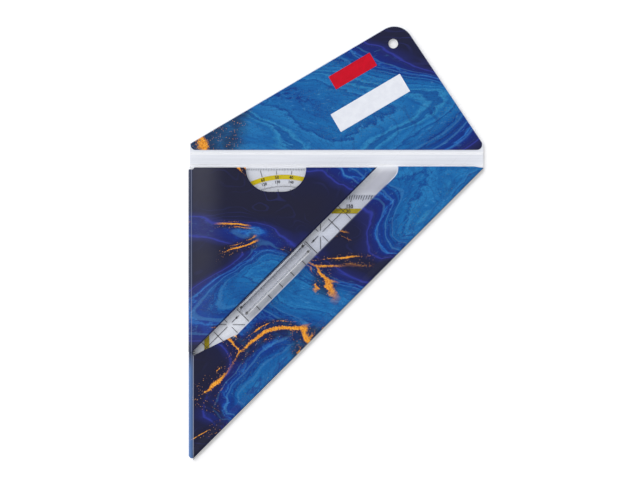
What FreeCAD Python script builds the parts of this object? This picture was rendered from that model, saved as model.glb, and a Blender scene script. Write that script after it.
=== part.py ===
"""A drafting set in its sheet case: a triangular pocket with a fold-over flap, a large set square
with a clip-on handle that stands in a diagonal channel of the front, and a small set square in an
upper pocket of its own. Millimetres, +Z up.

The pocket's right-angled corner is the reference for the outlines below: X runs along the mouth
and Y from the pocket towards the flap. A line named "diagonal" is parallel to the pocket's long
side and is given by where it meets the mouth line, which is its value of X - Y.
"""

import FreeCAD, Part
import os
import Sketcher

SIZES = {
    # sheets of the case
    "sheet": 0.5,              # back, spine and flap, cut from one white sheet
    "front_sheet": 0.5,        # printed front panels and folded side
    "divider_sheet": 0.3,      # partition between the two pockets
    "facing": 0.3,             # printed facing on the flap
    "slip": 0.2,               # play between a set square and the sheets beside it
    # set squares
    "large_hypotenuse": 225.0,
    "large_thickness": 2.2,
    "large_side_play": 0.5,    # its upright leg to the folded side
    "large_depth": 17.5,       # its upper leg below the mouth
    "large_edge_play": 2.78,   # its ruling edge to the foot of the seam
    "small_hypotenuse": 160.0,
    "small_thickness": 1.8,
    "small_side_play": 2.26,
    "small_depth": 1.0,
    "small_edge_play": 0.1,
    "square_corner": 1.5,
    "bevel_width": 4.0,        # ruling edge
    "bevel_depth": 1.0,
    # folded side and seams of the case
    "fold_out": 0.7,           # bulge of the folded side beyond the corner line
    "fold_width": 2.6,         # folded side, seen from above
    "fold_radius": 1.2,
    "seam_width": 4.8,         # band in which the front slopes down to the back
    "seam_land": 1.2,          # part of that band that lies flat, welded to the back
    "end_ease": 1.2,           # seam stops this far short of its corner at the mouth
    "fold_start": 1.9,         # folded side's upper end, below the mouth
    "fold_ease": 1.6,          # its lower end, short of the rim's corner
    "fold_cut": 1.3,           # oblique cut at that end
    "rim": 1.05,               # white rim of the back beyond the printed front
    "tip_cut": 2.2,            # cut off the rim's sharp corner at the mouth
    "small_seam_width": 0.4,
    # creases and flap
    "mouth_step": 0.8,         # mouth edge to the first crease
    "spine_width": 7.4,
    "crease_web": 0.2,         # sheet left under a crease
    "crease_gap": 0.02,
    "left_rise": 6.3,          # flap's short left end, above its crease
    "right_rise": 6.0,
    "left_slope": 30.5,        # degrees above the mouth line
    "right_slope": 56.3,       # degrees below it
    "crown_radius": 12.2,      # rounded top
    "flap_corner": 4.0,
    "facing_inset": 0.4,       # white edge round the facing
    "facing_start": 2.15,      # crease to the facing
    "facing_corner": 3.3,
    "hole_radius": 2.95,
    "hole_left": 0.7,          # hanging hole from the centre of the rounded top
    "hole_up": 1.2,
    # small front, channel and thumb cut-out
    "front_drop": 0.7,         # small front's upper edge, below the mouth
    "front_ease": 1.3,         # oblique cut at its left corner
    "handle_play": 0.56,       # handle to the edge of the small front
    "channel_play": 3.4,       # handle to the edge of the main front
    "mouth_play": 0.7,         # the same where the channel opens, along the mouth
    "channel_mouth_round": 8.0,
    "channel_tip_gap": 2.6,    # lower end of the channel, along the folded side
    "channel_tip_slope": 26.0,
    "channel_tip_round": 15.0,
    "thumb_centre": 53.6,
    "thumb_width": 37.4,
    "thumb_depth": 15.75,
    "thumb_lip": 0.5,          # straight start of the thumb cut-out's sides
    # handle
    "handle_length": 59.0,
    "handle_width": 7.5,
    "handle_height": 8.0,
    "handle_round": 3.0,
    "flange_height": 1.3,
    "head_height": 1.8,
    "waist_width": 4.6,
    "waist_slope": 1.0,
    "dish_width": 5.4,         # hollow along the top
    "dish_depth": 0.8,
    "end_slope": 1.5,          # lean of the handle's ends
    "handle_soft": 0.35,       # rounding of the head's edges
    "prong_end": 2.7,          # prong to the handle's end
    "prong_side": 1.3,         # prong to the handle's side
    "prong_radius": 0.75,
    "prong_play": 0.1,
}

# levels, from the ground up
LARGE_LEVEL = "(sizes.sheet + sizes.facing + sizes.slip)"
HANDLE_LEVEL = f"({LARGE_LEVEL} + sizes.large_thickness)"
MAIN_LEVEL = f"({HANDLE_LEVEL} + sizes.slip)"
SMALL_LEVEL = f"({MAIN_LEVEL} + sizes.divider_sheet + sizes.slip)"
UPPER_LEVEL = f"({SMALL_LEVEL} + sizes.small_thickness + sizes.slip)"

# the folded side's two faces, and where the set squares lie beside it
FOLD_SEAT = "(sizes.fold_width - sizes.fold_out)"
WALL_IN = "(sizes.front_sheet - sizes.fold_out)"
LARGE_LEG = "(sizes.large_hypotenuse / sqrt(2))"
LARGE_X = f"({WALL_IN} + sizes.large_side_play)"
LARGE_Y = "(-sizes.large_depth)"
SMALL_LEG = "(sizes.small_hypotenuse / sqrt(2))"
SMALL_X = f"({WALL_IN} + sizes.small_side_play)"
SMALL_Y = "(-sizes.small_depth)"

# diagonals, from the small pocket outwards
SMALL_EDGE_ROOM = "(sizes.small_edge_play + sizes.small_seam_width)"
SMALL_DIAGONAL = f"({SMALL_X} - {SMALL_Y} + {SMALL_LEG} + {SMALL_EDGE_ROOM} * sqrt(2))"
HANDLE_DIAGONAL = f"({SMALL_DIAGONAL} + (sizes.handle_play + sizes.handle_width / 2) * sqrt(2))"
MAIN_DIAGONAL = f"({HANDLE_DIAGONAL} + (sizes.handle_width / 2 + sizes.channel_play) * sqrt(2))"
CHANNEL_MOUTH = f"({HANDLE_DIAGONAL} + sizes.handle_width / 2 * sqrt(2) + sizes.mouth_play)"
FOLD_STEP = f"({FOLD_SEAT} - {SMALL_DIAGONAL})"
CHANNEL_TIP = f"({FOLD_STEP} - sizes.channel_tip_gap)"
LARGE_EDGE_ROOM = "(sizes.large_edge_play + sizes.front_sheet + sizes.seam_land)"
BLUE_DIAGONAL = f"({LARGE_X} - {LARGE_Y} + {LARGE_LEG} + {LARGE_EDGE_ROOM} * sqrt(2))"
FLAT_DIAGONAL = f"({BLUE_DIAGONAL} - sizes.seam_width * sqrt(2))"
RIM_DIAGONAL = f"({BLUE_DIAGONAL} + sizes.rim * sqrt(2))"
CASE_WIDTH = f"({RIM_DIAGONAL} - sizes.tip_cut)"

# the handle's middle, on the large square's line of symmetry
HANDLE_REACH = f"(({HANDLE_DIAGONAL} - {LARGE_X} + {LARGE_Y}) / sqrt(2))"
HANDLE_X = f"({LARGE_X} + {HANDLE_REACH} / sqrt(2))"
HANDLE_Y = f"({LARGE_Y} - {HANDLE_REACH} / sqrt(2))"

# the corner where the flap's two long edges would meet, and the centre of its rounded top
FLAP_CREASE = "(sizes.mouth_step + sizes.spine_width)"
CORNER_DROP = f"({CASE_WIDTH} * tan(sizes.right_slope) + sizes.right_rise - sizes.left_rise)"
APEX_X = f"({CORNER_DROP} / (tan(sizes.left_slope) + tan(sizes.right_slope)))"
APEX_Y = f"({FLAP_CREASE} + sizes.left_rise + {APEX_X} * tan(sizes.left_slope))"
SPREAD = "sin(sizes.left_slope + sizes.right_slope)"
CROWN_BACK = f"((cos(sizes.left_slope) - cos(sizes.right_slope)) / {SPREAD})"
CROWN_DROP = f"((sin(sizes.left_slope) + sin(sizes.right_slope)) / {SPREAD})"
CROWN_X = f"({APEX_X} - sizes.crown_radius * {CROWN_BACK})"
CROWN_Y = f"({APEX_Y} - sizes.crown_radius * {CROWN_DROP})"

# the model's origin is below the middle of the whole outline
SHIFT_X = f"((sizes.fold_out - {CASE_WIDTH}) / 2)"
SHIFT_Y = f"(({RIM_DIAGONAL} - {FOLD_SEAT} - {CROWN_Y} - sizes.crown_radius) / 2)"

doc = FreeCAD.newDocument("drafting_set")
sheet = doc.addObject("Spreadsheet::Sheet", "sizes")
for row, (alias, value) in enumerate(SIZES.items(), start=1):
    sheet.set(f"A{row}", alias)
    sheet.set(f"B{row}", str(value))
    sheet.setAlias(f"B{row}", alias)
doc.recompute()

subparts = []


def new_body(label, level="0", x="0", y="0", turn=0.0):
    """A body of its own for one sub-part, at its place in the case."""
    body = doc.addObject("PartDesign::Body", label)
    body.Label = label
    body.Placement = FreeCAD.Placement(
        FreeCAD.Vector(), FreeCAD.Rotation(FreeCAD.Vector(0, 0, 1), turn)
    )
    body.setExpression("Placement.Base.x", f"{SHIFT_X} + {x}")
    body.setExpression("Placement.Base.y", f"{SHIFT_Y} + {y}")
    body.setExpression("Placement.Base.z", level)
    subparts.append(body)
    return body


def new_sketch(body, name, role="XY_Plane"):
    sketch = body.newObject("Sketcher::SketchObject", name)
    plane = next(f for f in body.Origin.OriginFeatures if f.Role == role)
    sketch.AttachmentSupport = [(plane, "")]
    sketch.MapMode = "FlatFace"
    return sketch


def pin_point(sketch, geometry, point, across, up):
    """Hold one point of a sketch at two expressions."""
    for kind, expression in (("DistanceX", across), ("DistanceY", up)):
        value = float(sketch.evalExpression(expression))
        index = sketch.addConstraint(Sketcher.Constraint(kind, geometry, point, value))
        sketch.setExpression(f"Constraints[{index}]", expression)


def add_polygon(sketch, corners):
    """A closed outline of straight lines through corners given as pairs of expressions."""
    spots = [
        FreeCAD.Vector(*(float(sketch.evalExpression(e)) for e in corner), 0)
        for corner in corners
    ]
    count = len(spots)
    lines = [
        sketch.addGeometry(Part.LineSegment(spots[i], spots[(i + 1) % count]))
        for i in range(count)
    ]
    for i, line in enumerate(lines):
        following = lines[(i + 1) % count]
        sketch.addConstraint(Sketcher.Constraint("Coincident", line, 2, following, 1))
        pin_point(sketch, line, 1, *corners[i])


def add_circle(sketch, across, up, radius):
    value = float(sketch.evalExpression(radius))
    index = sketch.addGeometry(Part.Circle(FreeCAD.Vector(), FreeCAD.Vector(0, 0, 1), value))
    held = sketch.addConstraint(Sketcher.Constraint("Radius", index, value))
    sketch.setExpression(f"Constraints[{held}]", radius)
    pin_point(sketch, index, 3, across, up)


def add_pad(body, sketch, length, midplane=False, downward=False):
    pad = body.newObject("PartDesign::Pad", sketch.Name + "_pad")
    pad.Profile = sketch
    pad.setExpression("Length", length)
    pad.Midplane = midplane
    pad.Reversed = downward
    doc.recompute()


def add_pocket(body, sketch, length):
    """A cut to both sides of its sketch, checked to take something away."""
    before = body.Shape.Volume
    pocket = body.newObject("PartDesign::Pocket", sketch.Name + "_cut")
    pocket.Profile = sketch
    pocket.setExpression("Length", f"2 * ({length})")
    pocket.Midplane = True
    doc.recompute()
    if pocket.Shape.Volume >= before:
        raise RuntimeError(f"{pocket.Name} cut nothing")


def dress_edges(body, kind, name, size, wanted):
    """A fillet or chamfer on every edge of the body that passes the test."""
    base = body.Tip
    names = [f"Edge{i}" for i, edge in enumerate(base.Shape.Edges, start=1) if wanted(edge)]
    if not names:
        raise RuntimeError(f"{name} found no edge")
    dress = body.newObject(f"PartDesign::{kind}", name)
    dress.Base = (base, names)
    dress.setExpression("Radius" if kind == "Fillet" else "Size", size)
    doc.recompute()


def is_upright_at(body, across, up):
    """A test for the upright edge that stands on one corner of an outline."""
    x, y = (float(body.evalExpression(e)) for e in (across, up))

    def wanted(edge):
        ends = [v.Point for v in edge.Vertexes]
        return len(ends) == 2 and all(abs(p.x - x) < 1e-4 and abs(p.y - y) < 1e-4 for p in ends)

    return wanted


def round_corner(body, name, radius, corner):
    dress_edges(body, "Fillet", name, radius, is_upright_at(body, *corner))


def bevel_crease(body, name, y):
    """Half of a crease's groove, along the upper edge of a sheet."""
    place = float(body.evalExpression(y))
    top = float(body.evalExpression("sizes.sheet"))

    def wanted(edge):
        return all(
            abs(v.Point.y - place) < 1e-4 and abs(v.Point.z - top) < 1e-4 for v in edge.Vertexes
        )

    depth = "sizes.sheet - sizes.crease_web + sizes.crease_gap"
    dress_edges(body, "Chamfer", name, depth, wanted)


def make_case_back():
    body = new_body("case_back")
    outline = new_sketch(body, "back_outline")
    add_polygon(outline, [
        ("0", "0"),
        (FOLD_SEAT, "0"),
        (FOLD_SEAT, f"{FOLD_SEAT} - {RIM_DIAGONAL}"),
        (CASE_WIDTH, f"{CASE_WIDTH} - {RIM_DIAGONAL}"),
        (CASE_WIDTH, "sizes.mouth_step"),
        ("0", "sizes.mouth_step"),
    ])
    add_pad(body, outline, "sizes.sheet")
    bevel_crease(body, "back_crease", "sizes.mouth_step")


def make_fold(label, top, upper_end, lower_end):
    """A stretch of the folded side: the sheet comes round from the back to a front panel. Gives
    the body."""
    body = new_body(label, y=upper_end)
    section = new_sketch(body, label + "_section", "XZ_Plane")
    left, right = "-sizes.fold_out", FOLD_SEAT
    inner_top = f"({top} - sizes.front_sheet)"
    add_polygon(section, [
        (left, "0"),
        (right, "0"),
        (right, "sizes.sheet"),
        (WALL_IN, "sizes.sheet"),
        (WALL_IN, inner_top),
        (right, inner_top),
        (right, top),
        (left, top),
    ])
    add_pad(body, section, f"{upper_end} - ({lower_end})")
    for name, x, radius in (
        ("_outer", left, "sizes.fold_radius"),
        ("_inner", WALL_IN, "sizes.fold_radius - sizes.front_sheet"),
    ):
        place = float(body.evalExpression(x))

        def runs_along_fold(edge):
            return all(abs(v.Point.x - place) < 1e-4 for v in edge.Vertexes) and (
                abs(edge.tangentAt(edge.FirstParameter).y) > 0.9
            )

        dress_edges(body, "Fillet", label + name, radius, runs_along_fold)
    return body


def cut_fold_end(body, top, drop):
    """The oblique lower end of the folded side, that far below the body's own origin."""
    corner = new_sketch(body, "fold_end")
    far = "(2 * sizes.fold_cut)"
    add_polygon(corner, [
        ("-sizes.fold_out", f"{drop} + sizes.fold_cut"),
        (f"-sizes.fold_out - {far}", f"{drop} + sizes.fold_cut"),
        (f"-sizes.fold_out - {far}", f"{drop} - {far}"),
        ("-sizes.fold_out + sizes.fold_cut", f"{drop} - {far}"),
        ("-sizes.fold_out + sizes.fold_cut", drop),
    ])
    add_pocket(body, corner, top)


def make_main_front():
    body = new_body("main_front", MAIN_LEVEL)
    outline = new_sketch(body, "main_outline")
    widening = f"({MAIN_DIAGONAL} + {CHANNEL_TIP} - {FOLD_SEAT})"
    bend_x = f"({FOLD_SEAT} + {widening} / (1 - tan(sizes.channel_tip_slope)))"
    bend = (bend_x, f"{bend_x} - {MAIN_DIAGONAL}")
    mouth_corner = (CHANNEL_MOUTH, f"{CHANNEL_MOUTH} - {MAIN_DIAGONAL}")
    add_polygon(outline, [
        (FOLD_SEAT, CHANNEL_TIP),
        (FOLD_SEAT, f"{FOLD_SEAT} - {FLAT_DIAGONAL}"),
        (FLAT_DIAGONAL, "0"),
        (CHANNEL_MOUTH, "0"),
        mouth_corner,
        bend,
    ])
    add_pad(body, outline, "sizes.front_sheet")
    round_corner(body, "mouth_round", "sizes.channel_mouth_round", mouth_corner)
    round_corner(body, "bend_round", "sizes.channel_tip_round", bend)


def make_hypotenuse_seam():
    """The band in which the main front comes down to the back and is welded to it. Its own X runs
    along the long side, and its own -Y outwards."""
    body = new_body("hypotenuse_seam", turn=45.0)
    section = new_sketch(body, "seam_section", "YZ_Plane")
    edge = f"(-{BLUE_DIAGONAL} / sqrt(2))"
    land = f"({edge} + sizes.seam_land)"
    flat = f"({edge} + sizes.seam_width)"
    main_top = f"({MAIN_LEVEL} + sizes.front_sheet)"
    add_polygon(section, [
        (edge, "sizes.sheet"),
        (edge, "sizes.sheet + sizes.front_sheet"),
        (land, "sizes.sheet + sizes.front_sheet"),
        (flat, main_top),
        (flat, MAIN_LEVEL),
        (f"{land} + sizes.front_sheet", "sizes.sheet"),
    ])
    add_pad(body, section, f"2 * {BLUE_DIAGONAL}", midplane=True)
    ends = new_sketch(body, "mouth_end")
    far = f"(1.1 * {BLUE_DIAGONAL})"
    add_polygon(ends, [
        (f"-{flat}", flat),
        (f"-{edge} - sizes.end_ease", edge),
        (far, edge),
        (far, flat),
    ])
    add_pocket(body, ends, main_top)
    ends = new_sketch(body, "lower_end")
    seat = f"{FOLD_SEAT} * sqrt(2)"
    add_polygon(ends, [
        (f"{seat} + {flat}", flat),
        (f"{seat} + {edge}", edge),
        (f"-{far}", edge),
        (f"-{far}", flat),
    ])
    add_pocket(body, ends, main_top)


def make_small_divider():
    """The small pocket's inner wall, from the folded side to the edge of the small front."""
    body = new_body("small_divider", MAIN_LEVEL)
    outline = new_sketch(body, "divider_outline")
    add_polygon(outline, [
        (WALL_IN, "0"),
        (WALL_IN, FOLD_STEP),
        (FOLD_SEAT, FOLD_STEP),
        (SMALL_DIAGONAL, "0"),
    ])
    add_pad(body, outline, "sizes.divider_sheet")


def make_small_seam():
    """The weld along the small pocket's edge, which keeps the small square out of the channel."""
    body = new_body("small_seam", f"{MAIN_LEVEL} + sizes.divider_sheet")
    outline = new_sketch(body, "small_seam_outline")
    inner = f"({SMALL_DIAGONAL} - sizes.small_seam_width * sqrt(2))"
    add_polygon(outline, [
        (FOLD_SEAT, f"{FOLD_SEAT} - {inner}"),
        (FOLD_SEAT, FOLD_STEP),
        (f"{SMALL_DIAGONAL} - sizes.front_drop", "-sizes.front_drop"),
        (f"{inner} - sizes.front_drop", "-sizes.front_drop"),
    ])
    add_pad(body, outline, f"{UPPER_LEVEL} - {MAIN_LEVEL} - sizes.divider_sheet")


def make_small_front():
    body = new_body("small_front", UPPER_LEVEL)
    outline = new_sketch(body, "small_outline")
    thumb_left = "(sizes.thumb_centre - sizes.thumb_width / 2)"
    thumb_right = "(sizes.thumb_centre + sizes.thumb_width / 2)"
    low_left = (thumb_left, "-sizes.thumb_depth")
    low_right = (thumb_right, "-sizes.thumb_depth")
    upper = "(-sizes.front_drop)"
    add_polygon(outline, [
        (f"{FOLD_SEAT} + sizes.front_ease", upper),
        (FOLD_SEAT, f"{upper} - sizes.front_ease"),
        (FOLD_SEAT, FOLD_STEP),
        (f"{SMALL_DIAGONAL} + {upper}", upper),
        (thumb_right, upper),
        low_right,
        low_left,
        (thumb_left, upper),
    ])
    add_pad(body, outline, "sizes.front_sheet")
    radius = f"sizes.thumb_depth - sizes.thumb_lip + {upper}"
    round_corner(body, "thumb_left_round", radius, low_left)
    round_corner(body, "thumb_right_round", radius, low_right)


def make_spine():
    body = new_body("spine_strip", y="sizes.mouth_step")
    outline = new_sketch(body, "spine_outline")
    add_polygon(outline, [
        ("0", "0"),
        (CASE_WIDTH, "0"),
        (CASE_WIDTH, "sizes.spine_width"),
        ("0", "sizes.spine_width"),
    ])
    add_pad(body, outline, "sizes.sheet")
    bevel_crease(body, "spine_lower_crease", "0")
    bevel_crease(body, "spine_upper_crease", "sizes.spine_width")


def inset_apex(inset):
    """The flap's upper corner, moved in from both of its long edges."""
    return f"{APEX_X} - {inset} * {CROWN_BACK}", f"{APEX_Y} - {inset} * {CROWN_DROP}"


def left_edge_height(inset, x):
    """Height of the long left edge, moved in, above a point of the mouth line."""
    slope = "tan(sizes.left_slope)"
    return f"{FLAP_CREASE} + sizes.left_rise + {x} * {slope} - {inset} / cos(sizes.left_slope)"


def right_edge_place(inset, y):
    """Where the right edge, moved in, crosses a height above the mouth line."""
    drop = f"({FLAP_CREASE} + sizes.right_rise - {y})"
    return f"{CASE_WIDTH} + {drop} / tan(sizes.right_slope) - {inset} / sin(sizes.right_slope)"


def cut_hanging_hole(body, name, thickness):
    ring = new_sketch(body, name)
    across, up = f"{CROWN_X} - sizes.hole_left", f"{CROWN_Y} + sizes.hole_up"
    add_circle(ring, across, up, "sizes.hole_radius")
    add_pocket(body, ring, thickness)


def make_flap_sheet():
    body = new_body("flap_sheet")
    outline = new_sketch(body, "flap_outline")
    apex = inset_apex("0")
    shoulder = (CASE_WIDTH, f"{FLAP_CREASE} + sizes.right_rise")
    add_polygon(outline, [
        ("0", FLAP_CREASE),
        (CASE_WIDTH, FLAP_CREASE),
        shoulder,
        apex,
        ("0", f"{FLAP_CREASE} + sizes.left_rise"),
    ])
    add_pad(body, outline, "sizes.sheet")
    round_corner(body, "flap_crown", "sizes.crown_radius", apex)
    round_corner(body, "flap_shoulder", "sizes.flap_corner", shoulder)
    bevel_crease(body, "flap_crease", FLAP_CREASE)
    cut_hanging_hole(body, "sheet_hole", "sizes.sheet")


def make_flap_facing():
    body = new_body("flap_facing", "sizes.sheet")
    outline = new_sketch(body, "facing_outline")
    inset = "sizes.facing_inset"
    start = f"({FLAP_CREASE} + sizes.facing_start)"
    left_end = left_edge_height(inset, inset)
    apex = inset_apex(inset)
    low_left = (inset, start)
    low_right = (right_edge_place(inset, start), start)
    add_polygon(outline, [low_left, low_right, apex, (inset, left_end)])
    add_pad(body, outline, "sizes.facing")
    round_corner(body, "facing_crown", f"sizes.crown_radius - {inset}", apex)
    round_corner(body, "facing_right", "sizes.facing_corner", low_right)
    round_corner(body, "facing_left", f"0.8 * ({left_end} - {start})", low_left)
    cut_hanging_hole(body, "facing_hole", "sizes.facing")


def make_square(label, leg, thickness, level, x, y):
    """A clear set square, right angle at its own origin, with a bevelled ruling edge."""
    body = new_body(label, level, x, y)
    outline = new_sketch(body, label + "_outline")
    corners = [("0", "0"), ("0", f"-{leg}"), (leg, "0")]
    add_polygon(outline, corners)
    add_pad(body, outline, thickness)
    for i, corner in enumerate(corners, start=1):
        round_corner(body, f"{label}_corner_{i}", "sizes.square_corner", corner)
    bevel = new_sketch(body, label + "_bevel", "XZ_Plane")
    bevel.AttachmentOffset = FreeCAD.Placement(
        FreeCAD.Vector(), FreeCAD.Rotation(FreeCAD.Vector(0, 1, 0), -45)
    )
    edge = f"({leg} / sqrt(2))"
    add_polygon(bevel, [
        (f"{edge} - sizes.bevel_width", thickness),
        (edge, f"{thickness} - sizes.bevel_depth"),
        (edge, f"2 * {thickness}"),
        (f"{edge} - sizes.bevel_width", f"2 * {thickness}"),
    ])
    add_pocket(body, bevel, leg)
    return body


def add_prong_circles(sketch, across, along, centre_x, centre_y, radius):
    """Four circles, two side by side at each end of the handle's line. The two directions are the
    unit steps of the handle's width and length in the sketch."""
    for end in ("-", ""):
        for side in ("-", ""):
            reach = f"{end}(sizes.handle_length / 2 - sizes.prong_end)"
            offset = f"{side}(sizes.handle_width / 2 - sizes.prong_side)"
            x = f"{centre_x} + {reach} * {along[0]} + {offset} * {across[0]}"
            y = f"{centre_y} + {reach} * {along[1]} + {offset} * {across[1]}"
            add_circle(sketch, x, y, radius)


def make_large_square():
    thickness = "sizes.large_thickness"
    body = make_square("large_square", LARGE_LEG, thickness, LARGE_LEVEL, LARGE_X, LARGE_Y)
    holes = new_sketch(body, "prong_holes")
    step = "sqrt(0.5)"
    centre = f"{HANDLE_REACH} * {step}"
    add_prong_circles(
        holes, (step, f"(-{step})"), (step, step), centre, f"-{centre}",
        "sizes.prong_radius + sizes.prong_play",
    )
    add_pocket(body, holes, thickness)


def make_small_square():
    thickness = "sizes.small_thickness"
    make_square("small_square", SMALL_LEG, thickness, SMALL_LEVEL, SMALL_X, SMALL_Y)


def make_handle():
    """The grip, waisted along both sides and dished on top, with the four prongs that snap into the
    large square. Its own X runs along it."""
    body = new_body("handle", HANDLE_LEVEL, HANDLE_X, HANDLE_Y, turn=45.0)
    outline = new_sketch(body, "handle_outline")
    end, side = "sizes.handle_length / 2", "sizes.handle_width / 2"
    corners = [(f"-{end}", f"-{side}"), (end, f"-{side}"), (end, side), (f"-{end}", side)]
    add_polygon(outline, corners)
    add_pad(body, outline, "sizes.handle_height")
    for i, corner in enumerate(corners, start=1):
        round_corner(body, f"handle_corner_{i}", "sizes.handle_round", corner)

    waist = new_sketch(body, "handle_waist", "YZ_Plane")
    head = "(sizes.handle_height - sizes.head_height)"
    for sign in ("-", ""):
        add_polygon(waist, [
            (f"{sign}{side}", "sizes.flange_height"),
            (f"{sign}sizes.waist_width / 2", "sizes.flange_height + sizes.waist_slope"),
            (f"{sign}sizes.waist_width / 2", f"{head} - sizes.waist_slope"),
            (f"{sign}{side}", head),
        ])
    add_pocket(body, waist, "sizes.handle_length")

    dish = new_sketch(body, "handle_dish", "YZ_Plane")
    floor = "(sizes.handle_height - sizes.dish_depth)"
    add_polygon(dish, [
        ("-sizes.dish_width / 2", "sizes.handle_height"),
        ("-sizes.dish_width / 2 + sizes.dish_depth", floor),
        ("sizes.dish_width / 2 - sizes.dish_depth", floor),
        ("sizes.dish_width / 2", "sizes.handle_height"),
    ])
    add_pocket(body, dish, "sizes.handle_length")

    ends = new_sketch(body, "handle_ends", "XZ_Plane")
    for sign in ("-", ""):
        add_polygon(ends, [
            (f"{sign}{end}", "sizes.flange_height"),
            (f"{sign}{end}", "sizes.handle_height"),
            (f"{sign}({end} - sizes.end_slope)", "sizes.handle_height"),
        ])
    add_pocket(body, ends, "sizes.handle_width")

    low = float(body.evalExpression(head))

    def is_on_head(edge):
        return all(v.Point.z > low - 1e-4 for v in edge.Vertexes)

    dress_edges(body, "Fillet", "handle_softened", "sizes.handle_soft", is_on_head)

    prongs = new_sketch(body, "prongs")
    add_prong_circles(prongs, ("0", "1"), ("1", "0"), "0", "0", "sizes.prong_radius")
    add_pad(body, prongs, "sizes.large_thickness", downward=True)


make_case_back()
upper_top = f"({UPPER_LEVEL} + sizes.front_sheet)"
lower_top = f"({MAIN_LEVEL} + sizes.front_sheet)"
fold_end = f"({FOLD_SEAT} - {RIM_DIAGONAL} + sizes.fold_ease)"
make_fold("fold_upper", upper_top, "(-sizes.fold_start)", FOLD_STEP)
lower_fold = make_fold("fold_lower", lower_top, FOLD_STEP, fold_end)
cut_fold_end(lower_fold, lower_top, f"({fold_end} - {FOLD_STEP})")
make_main_front()
make_hypotenuse_seam()
make_small_divider()
make_small_seam()
make_small_front()
make_spine()
make_flap_sheet()
make_flap_facing()
make_large_square()
make_small_square()
make_handle()

doc.recompute()
for item in doc.Objects:
    if "Invalid" in item.State or "Error" in item.State:
        raise RuntimeError(f"{item.Name} failed: {item.State}")
os.makedirs("parts", exist_ok=True)
for body in subparts:
    if body.Shape.isNull() or not body.Shape.isValid():
        raise RuntimeError(f"{body.Label} has no valid shape")
    body.Shape.exportStep(f"parts/{body.Label}.step")
    box = body.Shape.BoundBox
    print(
        f"{body.Label:16s} solids {len(body.Shape.Solids)}  volume {body.Shape.Volume:9.1f}  "
        f"X {box.XMin:8.2f} {box.XMax:8.2f}  Y {box.YMin:8.2f} {box.YMax:8.2f}  "
        f"Z {box.ZMin:6.2f} {box.ZMax:6.2f}"
    )
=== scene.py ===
import math

import bpy
from mathutils import Matrix, Vector


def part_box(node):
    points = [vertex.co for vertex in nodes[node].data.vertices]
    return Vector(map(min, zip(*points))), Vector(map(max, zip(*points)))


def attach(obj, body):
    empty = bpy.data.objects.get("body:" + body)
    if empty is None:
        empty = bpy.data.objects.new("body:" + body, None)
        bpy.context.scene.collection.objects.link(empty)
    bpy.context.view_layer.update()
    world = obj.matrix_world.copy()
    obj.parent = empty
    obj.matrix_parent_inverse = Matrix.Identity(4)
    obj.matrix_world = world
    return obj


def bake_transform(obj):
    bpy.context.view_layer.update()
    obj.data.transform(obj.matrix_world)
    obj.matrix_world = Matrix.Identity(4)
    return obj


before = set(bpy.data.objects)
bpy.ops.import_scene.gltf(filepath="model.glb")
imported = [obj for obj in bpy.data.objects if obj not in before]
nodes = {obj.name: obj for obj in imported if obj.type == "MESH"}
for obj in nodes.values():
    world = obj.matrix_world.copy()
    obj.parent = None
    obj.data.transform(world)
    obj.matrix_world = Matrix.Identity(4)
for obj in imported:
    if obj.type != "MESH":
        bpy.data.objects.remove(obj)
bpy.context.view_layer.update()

# ---- Back of the pocket -------------------------------------------------------------------------
# The back is cut from one sheet of white polypropylene, 0.5 mm thick, with the spine and the flap.
# The sheet has a fine matt grain, faint rolling marks and a few scuffs from use.

MM = 0.001
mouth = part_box("main_front")[1].y / MM
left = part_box("case_back")[0].x / MM
creases = [corner.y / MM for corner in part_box("spine_strip")]
sheet_ior = 1.49


def slant(corner):
    """Which line parallel to the long side a corner lies on: its X minus its Y, in mm."""
    return (corner.x - corner.y) / MM


def diagonal(place):
    """The same for the points of a material."""
    return place.axis("X") - place.axis("Y")


def across(place):
    """Distance to the right of the pocket's right-angled corner, in mm."""
    return place.axis("X") - left


seam_foot = slant(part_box("hypotenuse_seam")[0])
channel_start = slant(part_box("small_front")[1])


class Wire:
    """One output of a material's nodes. Arithmetic on wires adds Math nodes."""

    def __init__(self, tree, socket=None):
        self.tree = tree
        self.socket = socket

    def node(self, kind, settings=None, sockets=None, output=0):
        """Another node of the same material: its settings first, then its sockets."""
        made = self.tree.nodes.new("ShaderNode" + kind)
        for name, value in (settings or {}).items():
            if name == "stops":
                fill_ramp(made.color_ramp, value)
            else:
                setattr(made, name, value)
        for key, value in (sockets or {}).items():
            if isinstance(value, Wire):
                self.tree.links.new(value.socket, made.inputs[key])
            else:
                made.inputs[key].default_value = value
        return Wire(self.tree, made.outputs[output] if made.outputs else None)

    def math(self, operation, *values):
        return self.node("Math", {"operation": operation}, dict(enumerate(values)))

    def __add__(self, other):
        return self.math("ADD", self, other)

    def __radd__(self, other):
        return self.math("ADD", other, self)

    def __sub__(self, other):
        return self.math("SUBTRACT", self, other)

    def __rsub__(self, other):
        return self.math("SUBTRACT", other, self)

    def __mul__(self, other):
        return self.math("MULTIPLY", self, other)

    def __rmul__(self, other):
        return self.math("MULTIPLY", other, self)

    def __abs__(self):
        return self.math("ABSOLUTE", self)

    def wave(self):
        return self.math("SINE", self)

    def axis(self, name):
        return self.node("SeparateXYZ", {}, {"Vector": self}, output=name)

    def rise(self, low, high):
        """0 below low, 1 above high, and smooth between."""
        sockets = {"Value": self, "From Min": low, "From Max": high}
        return self.node("MapRange", {"interpolation_type": "SMOOTHSTEP"}, sockets)

    def colours(self, under, over):
        """A colour that goes from under to over as this wire goes from 0 to 1."""
        return self.node("Mix", {"data_type": "RGBA"}, {0: self, 6: under, 7: over}, output=2)

    def vector(self, operation, sockets):
        return self.node("VectorMath", {"operation": operation}, {0: self, **sockets})


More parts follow.
